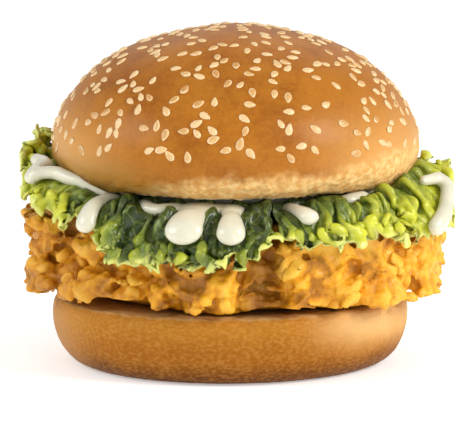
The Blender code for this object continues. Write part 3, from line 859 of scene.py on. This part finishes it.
def lettuce_leaf(name, start, end, finish):
    """A grid bent to its place, ruffled in rounds, and then given its thickness."""
    shape = bmesh.new()
    columns = round((end - start) / LEAF_STEP)
    rows = LEAF_INNER_ROWS + LEAF_FREE_ROWS
    bmesh.ops.create_grid(shape, x_segments=columns, y_segments=rows, size=1)
    layer = shape.verts.layers.float_color.new("leaf")
    marks = []
    for vertex in shape.verts:
        angle = start + (end - start) * (vertex.co.x + 1) / 2
        row = (vertex.co.y + 1) / 2 * rows
        if row < LEAF_INNER_ROWS - 0.5:
            share = row / LEAF_INNER_ROWS
            radius = LETTUCE_INNER_RADIUS + (LETTUCE_BEND_RADIUS - LETTUCE_INNER_RADIUS) * share
            vertex.co = spoke(angle, radius, LETTUCE_LEVEL)
            vertex[layer] = (0.0, angle / 360, 0.0, 1.0)
            continue
        free = max(0.0, (row - LEAF_INNER_ROWS) / LEAF_FREE_ROWS)
        along = free * margin_share(angle, start, end)
        calm = calm_near_sauce(angle, along)
        vertex.co = leaf_point(angle, along, calm)
        vertex[layer] = (free, angle / 360, along, 1.0)
        marks.append((vertex, angle, along, frill_calm(angle, along)))
    shape.normal_update()
    if sum(mark[0].normal.dot(sheet_outward(mark[1], 0.5)) for mark in marks) < 0:
        bmesh.ops.reverse_faces(shape, faces=shape.faces)
    folds = [0.0] * len(marks)
    raise_collar(marks)
    flip_margin(marks)
    for frill_round in FRILLS:
        shape.normal_update()
        frill(marks, frill_round, folds)
    shape.normal_update()
    blister(marks)
    for (vertex, *_), fold in zip(marks, folds):
        free, turn, _, _ = vertex[layer]
        vertex[layer] = (free, turn, 0.5 + 0.5 * fold / FOLD_DEPTH, 1.0)
        vertex.co = inside_box(under_crown(vertex.co, LEAF_UNDER_CROWN), LEAF_WALL)
    leaf = new_piece(f"leaf_{name}", shape, finish, "lettuce", f"lettuce_leaf_{name}")
    wall = leaf.modifiers.new("wall", "SOLIDIFY")
    wall.thickness = LEAF_WALL
    wall.offset = 0
    return leaf


# %% [markdown]
# ## The colour of a leaf
#
# Curly lettuce is pale and watery at its heart, mid green in its folds, and a fresh yellow-green along
# the frilled margin, whose cut edge is almost cream. The attribute that the grid wrote says how far out
# each point lies, so the colour follows the leaf through every fold. The same attribute keeps the height
# of the ruffle, so the crests of the frills are painted lighter and their troughs darker, as painted light
# and shade. Light is also painted on the left and right sides, and shade over the front. The leaf is thin
# enough for light to pass, which subsurface scattering gives.

# %% Lettuce finish


def lettuce_finish():
    finish = Finish("curly_lettuce", roughness=0.36, subsurface_weight=0.55, coat_weight=0.12)
    finish.paint("Subsurface Radius", (0.0016, 0.0022, 0.0005))
    split = finish.add("ShaderNodeSeparateColor", {}, {0: finish.attribute("leaf", 0)})
    outputs = split.socket.node.outputs
    free, turn, fold = split, Value(finish, outputs[1]), Value(finish, outputs[2])
    place = finish.add("ShaderNodeCombineXYZ", {}, {0: turn * 365, 1: free * 24})
    cloud = finish.noise(6, 3, place)
    across = finish.axes()[0]
    # Painted light on the left and right sides of the lettuce, and painted shade over its front.
    front = across.between(-48.0, -38.0) * across.between(16.0, 6.0)
    sides = across.between(10.0, 48.0) * 0.44 + across.between(-28.0, -50.0) * 0.32 - front * 0.12
    # The ruffle's height lightens the crests and darkens the troughs of the frills: painted light and shade.
    body = finish.ramp(
        (free * 0.62 + fold * 0.75 + cloud * 0.6 + sides - 0.86).between(0.0, 1.0),
        (0.0, (0.035, 0.062, 0.009)),
        (0.34, (0.130, 0.182, 0.013)),
        (0.64, (0.300, 0.340, 0.015)),
        (1.0, (0.600, 0.610, 0.032)),
    )
    veins = 1 - finish.cells(3.1, "DISTANCE_TO_EDGE", place).between(0.0, 0.08)
    veined = finish.mix(veins * 0.25, body, (0.42, 0.52, 0.09))
    edge = free.between(0.935, 0.975)
    finish.paint("Base Color", finish.mix(edge * 0.85, veined, (0.72, 0.74, 0.20)))
    finish.bump(veins * -0.4 + finish.noise(0.9, 2, place), 0.18, 0.6)
    return finish


leaf_finish = lettuce_finish()
for leaf_name, leaf_start, leaf_end in LEAVES:
    report(lettuce_leaf(leaf_name, leaf_start, leaf_end, leaf_finish))

# %% [markdown]
# ## The fried fillet
#
# A craggy coating is flour that was pressed on wet and then fried: round nubs, sharp creases between
# them and thin ledges that stand out. Sculpting that by hand is slow, so we build it in layers. A turned
# slab gives the fillet its body and reach, lumps and flakes are sunk into its side, and a voxel remesh
# fuses them into one skin. Cell noise, bent by smoother noise, then raises the nubs and presses in the
# creases, and the same number is kept in an attribute, so that the paint can follow it.

# %% Fillet sizes
FILLET_BOTTOM = 20.8 * MM
FILLET_TOP = 46.0 * MM
FILLET_REACH = (
    (0, 60, 60), (20, 58, 57.5), (50, 54, 56), (90, 51, 54), (130, 53, 56), (160, 57, 58.5),
    (180, 62.5, 61.5), (197, 62.2, 61.5), (213, 56, 56.5), (230, 51, 53), (247, 50, 51), (258, 50.5, 55),
    (267, 49.5, 54), (276, 47.5, 48), (282, 48.5, 49), (290, 54, 54), (305, 55, 55), (325, 57, 57.5), (342, 60, 60),
)
FILLET_LIFT = (
    (0, 3.6), (20, 1.5), (40, 0), (160, 0), (178, 4.0), (200, 3.2), (236, 3.6), (248, 0), (268, 0), (280, 2.6),
    (296, 2.2), (310, 0), (325, 0.5), (340, 3.6),
)
FILLET_LIFT_RADIUS = 38.0 * MM
FILLET_CREASE_HEIGHT = 32.0 * MM
FILLET_CREASE_ANGLE = 205.0
FILLET_CREASE_SPAN = 42.0
FILLET_CREASE_WIDTH = 2.2 * MM
FILLET_CREASE_DEPTH = 6.5 * MM
FILLET_SKIN = 2.5 * MM
FILLET_ROUNDING = 5.0 * MM
FILLET_RINGS = 10
FILLET_SEGMENTS = 90
FILLET_OVERHANG_RADIUS = HEEL_RADIUS + 3.0 * MM
FILLET_LOWEST = HEEL_WAIST_HEIGHT + 3.5 * MM
FILLET_UNDER_LETTUCE = 0.2 * MM
HANGING_LEVEL = LETTUCE_LEVEL - 4.0 * MM
SHEET_STEPS = 12
CRAG_COUNT = 150
CRAG_DRAW = 5
CRAG_SIZES = (2.6 * MM, 6.2 * MM)
CRAG_SINK = 0.75
FLAKE_COUNT = 420
FLAKE_SIZES = (1.5 * MM, 3.4 * MM)
FILLET_VOXEL = 0.68 * MM
FILLET_SETTLE = 0.35
PRESSED_DEPTH = 0.5 * MM
PRESSED_ROUNDS = 12

# %% Fillet shape


def fillet_reach(angle, height):
    """The radius of the fillet's side at a height, with the crease that splits its left side in two."""
    upper, lower = around(FILLET_REACH, angle)
    share = (height - FILLET_BOTTOM) / (FILLET_TOP - FILLET_BOTTOM)
    away = turn_between(angle, FILLET_CREASE_ANGLE) / FILLET_CREASE_SPAN
    crease = max(0.0, 1 - away**2) * math.exp(-(((height - FILLET_CREASE_HEIGHT) / FILLET_CREASE_WIDTH) ** 2))
    return lower + (upper - lower) * share - FILLET_CREASE_DEPTH * crease


def lettuce_above(angle):
    """Where the sheet runs at an angle, as radius, level and the room that its ruffle needs."""
    steps = []
    for step in range(SHEET_STEPS + 1):
        along = step / SHEET_STEPS
        strength = calm_near_sauce(angle, along) * along**RUFFLE_GROWTH
        room = LETTUCE_THICKNESS + FILLET_UNDER_LETTUCE + RUFFLE_HEIGHT * strength
        steps.append((*sheet_line(angle, along), room))
    return steps


LETTUCE_ABOVE = [lettuce_above(angle) for angle in range(360)]


def keep_in_layer(point):
    """Moves a point of the fillet back between the heel and the lettuce."""
    angle = angle_of(point)
    radius = point.xy.length
    lift = around(FILLET_LIFT, angle)[0] * eased(radius, FILLET_LIFT_RADIUS, HEEL_RIM_RADIUS)
    floor = (FILLET_BOTTOM if radius < FILLET_OVERHANG_RADIUS else FILLET_LOWEST) + lift
    point.z = min(max(point.z, floor), FILLET_TOP)
    if radius < LETTUCE_BEND_RADIUS - 2 * MM:
        return point
    for line_radius, line_level, room in LETTUCE_ABOVE[round(angle) % 360]:
        gap = math.hypot(radius - line_radius, point.z - line_level)
        if gap >= room:
            continue
        if line_level < HANGING_LEVEL:
            radius = min(radius, line_radius - math.sqrt(room**2 - (point.z - line_level) ** 2))
        else:
            point.z = min(point.z, line_level - math.sqrt(room**2 - (radius - line_radius) ** 2))
    return spoke(angle, radius, point.z)


def add_fillet_core(shape):
    """The smooth body of the fillet: a turned slab that follows the reach of each angle."""
    thickness = FILLET_TOP - FILLET_BOTTOM
    heights = [FILLET_BOTTOM + thickness * i / FILLET_RINGS for i in range(FILLET_RINGS + 1)]
    profile = [(0, heights[0]), *[(1, h) for h in heights], (0, heights[-1])]
    ring = [shape.verts.new((radius, 0, height)) for radius, height in profile]
    edges = [shape.edges.new(pair) for pair in zip(ring, ring[1:])]
    bmesh.ops.spin(
        shape,
        geom=ring + edges,
        axis=(0, 0, 1),
        cent=(0, 0, 0),
        angle=math.tau,
        steps=FILLET_SEGMENTS,
        use_merge=True,
    )
    bmesh.ops.remove_doubles(shape, verts=shape.verts, dist=0.01 * MM)
    middle = (FILLET_BOTTOM + FILLET_TOP) / 2
    for vertex in shape.verts:
        if vertex.co.xy.length < 0.5:
            continue
        angle = angle_of(vertex.co)
        rounding = FILLET_ROUNDING * abs((vertex.co.z - middle) / (thickness / 2)) ** 3
        vertex.co = spoke(angle, fillet_reach(angle, vertex.co.z) - FILLET_SKIN - rounding, vertex.co.z)


def add_crags(shape):
    """Lumps of coating, half sunk in the side, by the same seeded draws as the solid's."""
    draw = random.Random(CRAG_DRAW)
    round_lump = ball(2)
    for number in range(CRAG_COUNT):
        angle = number * 360 * 0.618034 + draw.uniform(-6, 6)
        height = FILLET_BOTTOM + (FILLET_TOP - FILLET_BOTTOM) * draw.uniform(0.10, 0.90)
        size = draw.uniform(*CRAG_SIZES)
        stretch = Vector((draw.uniform(0.6, 1.1), draw.uniform(0.7, 1.5), draw.uniform(0.5, 1.0))) * size
        reach = fillet_reach(angle, height) - CRAG_SINK * stretch.x
        roll = Matrix.Rotation(draw.uniform(-0.7, 0.7), 4, "X")
        place = Matrix.Translation(spoke(angle, reach, height)) @ Matrix.Rotation(math.radians(angle), 4, "Z")
        stamp(shape, round_lump, place @ roll @ Matrix.Diagonal((*stretch, 1)))


def add_flakes(shape):
    """Thin flakes that stand out of the side at all angles."""
    draw = random.Random(CRAG_DRAW + 1)
    round_flake = ball(2)
    for _ in range(FLAKE_COUNT):
        angle = draw.uniform(0, 360)
        height = FILLET_BOTTOM + (FILLET_TOP - FILLET_BOTTOM) * draw.uniform(0.04, 0.96)
        size = draw.uniform(*FLAKE_SIZES)
        reach = fillet_reach(angle, height) - draw.uniform(0.0, 1.6) * MM
        turn = Matrix.Rotation(draw.uniform(-0.8, 0.8), 4, "X") @ Matrix.Rotation(draw.uniform(-1.0, 1.0), 4, "Y")
        place = Matrix.Translation(spoke(angle, reach, height)) @ Matrix.Rotation(math.radians(angle), 4, "Z")
        flake = Matrix.Diagonal((0.9 * size, size * draw.uniform(0.7, 1.3), 0.62 * MM, 1))
        stamp(shape, round_flake, place @ turn @ flake)


# %% Crust relief


def crust(point):
    """How far the coating stands out at a point, from about -1 to 1."""
    bent = point + noise.noise_vector(point / (6 * MM)) * 1.6 * MM
    nubs = 0.5 - cell_distance(bent / (8.5 * MM))
    knobs = 0.5 - cell_distance(bent / (3.4 * MM) + Vector((7, 3, 1)))
    level = 3.2 * noise.noise(bent / (9 * MM) + Vector((0, 9, 4)))
    ledge = math.floor(level) + eased(level - math.floor(level), 0.35, 0.65)
    folds = abs(noise.noise(bent / (5.2 * MM) + Vector((2, 5, 8)))) * 2.4 - 0.5
    wrinkles = abs(noise.noise(bent / (2.2 * MM) + Vector((6, 1, 3)))) * 2.4 - 0.5
    grain = noise.noise(bent / (1.3 * MM))
    height = 0.85 * nubs + 0.25 * knobs + 0.20 * ledge + 0.55 * folds + 0.22 * wrinkles + 0.10 * grain
    return max(height, CRUST_FLOOR)


CRUST_DEPTH = 1.9 * MM
CRUST_FLOOR = -0.55


def chicken_fillet(finish):
    shape = bmesh.new()
    add_fillet_core(shape)
    add_crags(shape)
    add_flakes(shape)
    bmesh.ops.recalc_face_normals(shape, faces=shape.faces)
    fillet = new_piece("fillet", shape, finish, "fried_coating", "chicken_fillet")
    fuse = fillet.modifiers.new("fuse", "REMESH")
    fuse.mode = "VOXEL"
    fuse.voxel_size = FILLET_VOXEL
    apply_modifiers(fillet)
    heights = [crust(vertex.co) for vertex in fillet.data.vertices]
    moves = [vertex.normal * height * CRUST_DEPTH for vertex, height in zip(fillet.data.vertices, heights)]
    pressed = fillet.vertex_groups.new(name="pressed")
    for vertex, move in zip(fillet.data.vertices, moves):
        free = vertex.co + move
        vertex.co = inside_box(keep_in_layer(free.copy()), 0)
        pressed.add([vertex.index], eased((vertex.co - free).length, 0, PRESSED_DEPTH), "REPLACE")
    stored = fillet.data.attributes.new("crust", "FLOAT", "POINT")
    stored.data.foreach_set("value", heights)
    settle = fillet.modifiers.new("settle", "SMOOTH")
    settle.factor = FILLET_SETTLE
    settle.iterations = 1
    flatten = fillet.modifiers.new("flatten", "SMOOTH")
    flatten.vertex_group = pressed.name
    flatten.factor = 0.5
    flatten.iterations = PRESSED_ROUNDS
    apply_modifiers(fillet)
    return fillet


# %% [markdown]
# ## Golden coating
#
# Fried flour is palest where it is thin and stands out in the oil, and deep orange where it is thick. So
# the ramp reads the crust attribute, with noise to break it up, and darkens the colour down into the
# creases; a light coat stands for the film of oil. Painted light makes the right side lighter, and painted
# shade darkens the left side and a hollow at the front. Fried food easily comes out too red, so the ramp
# is kept on the yellow side.

# %% Coating finish


def coating_finish():
    finish = Finish("fried_flour", coat_roughness=0.22, subsurface_weight=0.10)
    finish.paint("Specular IOR Level", 0.3)
    finish.paint("Subsurface Radius", (0.003, 0.0015, 0.0003))
    height = finish.attribute("crust", 2)
    cloud = finish.noise(6, 4)
    fine = finish.noise(0.9, 4)
    across = finish.axes()[0]
    # Painted light on the right side of the fillet.
    lit = across.between(12.0, 30.0) * 0.14
    level = (height * 0.8 + cloud * 0.7 + fine * 0.3 + lit - 0.18).between(-0.35, 0.85)
    base = finish.ramp(
        level,
        (0.0, (0.300, 0.105, 0.006)),
        (0.28, (0.470, 0.188, 0.008)),
        (0.55, (0.670, 0.280, 0.008)),
        (0.82, (0.800, 0.375, 0.013)),
        (1.0, (0.860, 0.470, 0.042)),
    )
    # Painted shade: a dark band in the hollow at the front, and the left side darker.
    recess_shade = across.between(-1.0, 5.0) * across.between(15.0, 9.0)
    shaded = finish.mix(across.between(-5.0, -45.0) * 0.35, base, (0.390, 0.150, 0.008))
    finish.paint("Base Color", finish.mix(recess_shade * 0.8, shaded, (0.290, 0.105, 0.007)))
    finish.paint("Roughness", fine * 0.25 + 0.36)
    finish.paint("Coat Weight", cloud.between(0.35, 0.7) * 0.30)
    finish.bump(fine + finish.noise(0.35, 2) * 0.35, 0.35, 0.8)
    return finish


report(chicken_fillet(coating_finish()))

# %% [markdown]
# ## Mayonnaise
#
# Thick mayonnaise runs slowly and keeps round, heavy ends. We string flattened drops along each path,
# close enough to overlap, and let a voxel remesh and a few rounds of smoothing turn them into one skin.
# Where a path widens the drip swells, which is what surface tension does at the end of a run.

# %% Mayonnaise shapes
SAUCE_DISC_RADIUS = 35.0 * MM
SAUCE_DISC_BOTTOM = 49.0 * MM
SAUCE_DISC_TOP = 53.0 * MM
SAUCE_DISC_SEGMENTS = 96
SAUCE_VOXEL = 0.50 * MM
SAUCE_SOFTENING = 14
DROP_LENGTH_SHARE = 0.83
DROP_STEP = 0.8 * MM
CLEARANCE = 0.35 * MM


def drop_on_sheet(shape, drop, angle, along, width, thickness):
    """A flattened drop that lies on the upper side of the lettuce."""
    outward = sheet_outward(angle, along)
    lift = LETTUCE_THICKNESS / 2 + CLEARANCE + thickness / 2
    point = leaf_point(angle, along, calm_near_sauce(angle, along)) + outward * lift
    sideways = spoke(angle + 90, 1, 0)
    forward = outward.cross(sideways).normalized()
    sizes = (sideways * width / 2, forward * width * DROP_LENGTH_SHARE / 2, outward * thickness / 2)
    stamp(shape, drop, Matrix.Translation(point) @ Matrix(sizes).transposed().to_4x4())


def trail(shape, path):
    """Drops close together along a path, so that they fuse into one smooth strand."""
    drop = ball(3)
    for low, high in zip(path, path[1:]):
        ends = [spoke(row[0], *sheet_line(row[0], row[1])) for row in (low, high)]
        steps = max(1, round((ends[1] - ends[0]).length / DROP_STEP))
        for step in range(steps + 1):
            angle, along, width, thickness = (a + (b - a) * step / steps for a, b in zip(low, high))
            drop_on_sheet(shape, drop, angle, along, width * MM, thickness * MM)


def sauce_piece(name, shape, finish, node):
    """Fuses the drops into one smooth skin and keeps them under the crown's cut face."""
    sauce = new_piece(name, shape, finish, "mayonnaise", node)
    fuse = sauce.modifiers.new("fuse", "REMESH")
    fuse.mode = "VOXEL"
    fuse.voxel_size = SAUCE_VOXEL
    settle = sauce.modifiers.new("settle", "SMOOTH")
    settle.factor = 0.5
    settle.iterations = SAUCE_SOFTENING
    apply_modifiers(sauce)
    for vertex in sauce.data.vertices:
        vertex.co = under_crown(vertex.co, CLEARANCE)
    return sauce


def mayonnaise(finish):
    shape = bmesh.new()
    bmesh.ops.create_cone(
        shape,
        cap_ends=True,
        segments=SAUCE_DISC_SEGMENTS,
        radius1=SAUCE_DISC_RADIUS,
        radius2=SAUCE_DISC_RADIUS,
        depth=SAUCE_DISC_TOP - SAUCE_DISC_BOTTOM,
        matrix=Matrix.Translation((0, 0, (SAUCE_DISC_BOTTOM + SAUCE_DISC_TOP) / 2)),
    )
    for path in DRIPS:
        trail(shape, path)
    report(sauce_piece("mayonnaise_drips", shape, finish, "mayonnaise"))
    for name, path in CURLS.items():
        shape = bmesh.new()
        trail(shape, path)
        report(sauce_piece(f"curl_{name}", shape, finish, f"mayonnaise_curl_{name}"))


def mayonnaise_finish():
    finish = Finish("thick_mayonnaise", roughness=0.25, coat_weight=0.2, coat_roughness=0.12, subsurface_weight=0.4)
    finish.paint("Subsurface Radius", (0.0035, 0.003, 0.0022))
    cloud = finish.noise(5, 2)
    finish.paint("Base Color", finish.mix(cloud, (0.64, 0.62, 0.47), (0.74, 0.72, 0.58)))
    finish.bump(finish.noise(2.2, 2), 0.12, 0.4)
    return finish


mayonnaise(mayonnaise_finish())

# %% [markdown]
# ## Table and light
#
# Food on white is shot in a light tent: white all round, and one larger lamp to give the glaze its shine
# and the layers their shadows. A big white plane is the table, the world is the tent, and area lights
# stand in for the soft boxes. The table glows a little, so that it stays white under the burger's soft
# shadow.

# %% Table
TABLE_HALF_SIZE = 3.0
TABLE_WHITE = (0.92, 0.92, 0.92)


def table():
    shape = bmesh.new()
    bmesh.ops.create_grid(shape, x_segments=1, y_segments=1, size=TABLE_HALF_SIZE)
    finish = Finish("white_table", roughness=0.9)
    finish.paint("Base Color", TABLE_WHITE)
    finish.paint("Emission Color", (1.0, 1.0, 1.0))
    finish.paint("Emission Strength", 0.36)
    mesh = bpy.data.meshes.new("table")
    shape.to_mesh(mesh)
    shape.free()
    piece = bpy.data.objects.new("table", mesh)
    piece.data.materials.append(finish.material)
    bpy.context.scene.collection.objects.link(piece)


def soft_box(name, place, size, power, colour=(1.0, 1.0, 1.0), aim=CAMERA_AIM):
    """A square area light that faces the burger, or another place."""
    data = bpy.data.lights.new(name, "AREA")
    data.size = size
    data.energy = power
    data.color = colour
    lamp = bpy.data.objects.new(name, data)
    lamp.location = place
    lamp.rotation_euler = (Vector(place) - aim).to_track_quat("Z", "Y").to_euler()
    bpy.context.scene.collection.objects.link(lamp)


def light_tent(strength):
    world = bpy.data.worlds.new("light_tent")
    world.use_nodes = True
    world.node_tree.nodes["Background"].inputs["Color"].default_value = (1.0, 1.0, 1.0, 1.0)
    world.node_tree.nodes["Background"].inputs["Strength"].default_value = strength
    bpy.context.scene.world = world


table()
light_tent(0.55)
soft_box("key_right", (0.85, -0.45, 0.60), 0.45, 9.0, (1.0, 0.97, 0.92))
soft_box("fill_left", (-0.85, -0.30, 0.55), 0.5, 4.5)
soft_box("front_low", (0.15, -1.0, 0.25), 0.5, 0.7)
soft_box("on_the_table_behind", (0.0, 1.9, 1.1), 1.4, 3.0, aim=Vector((0.0, 1.5, 0.0)))
bpy.context.scene.view_settings.view_transform = "Standard"
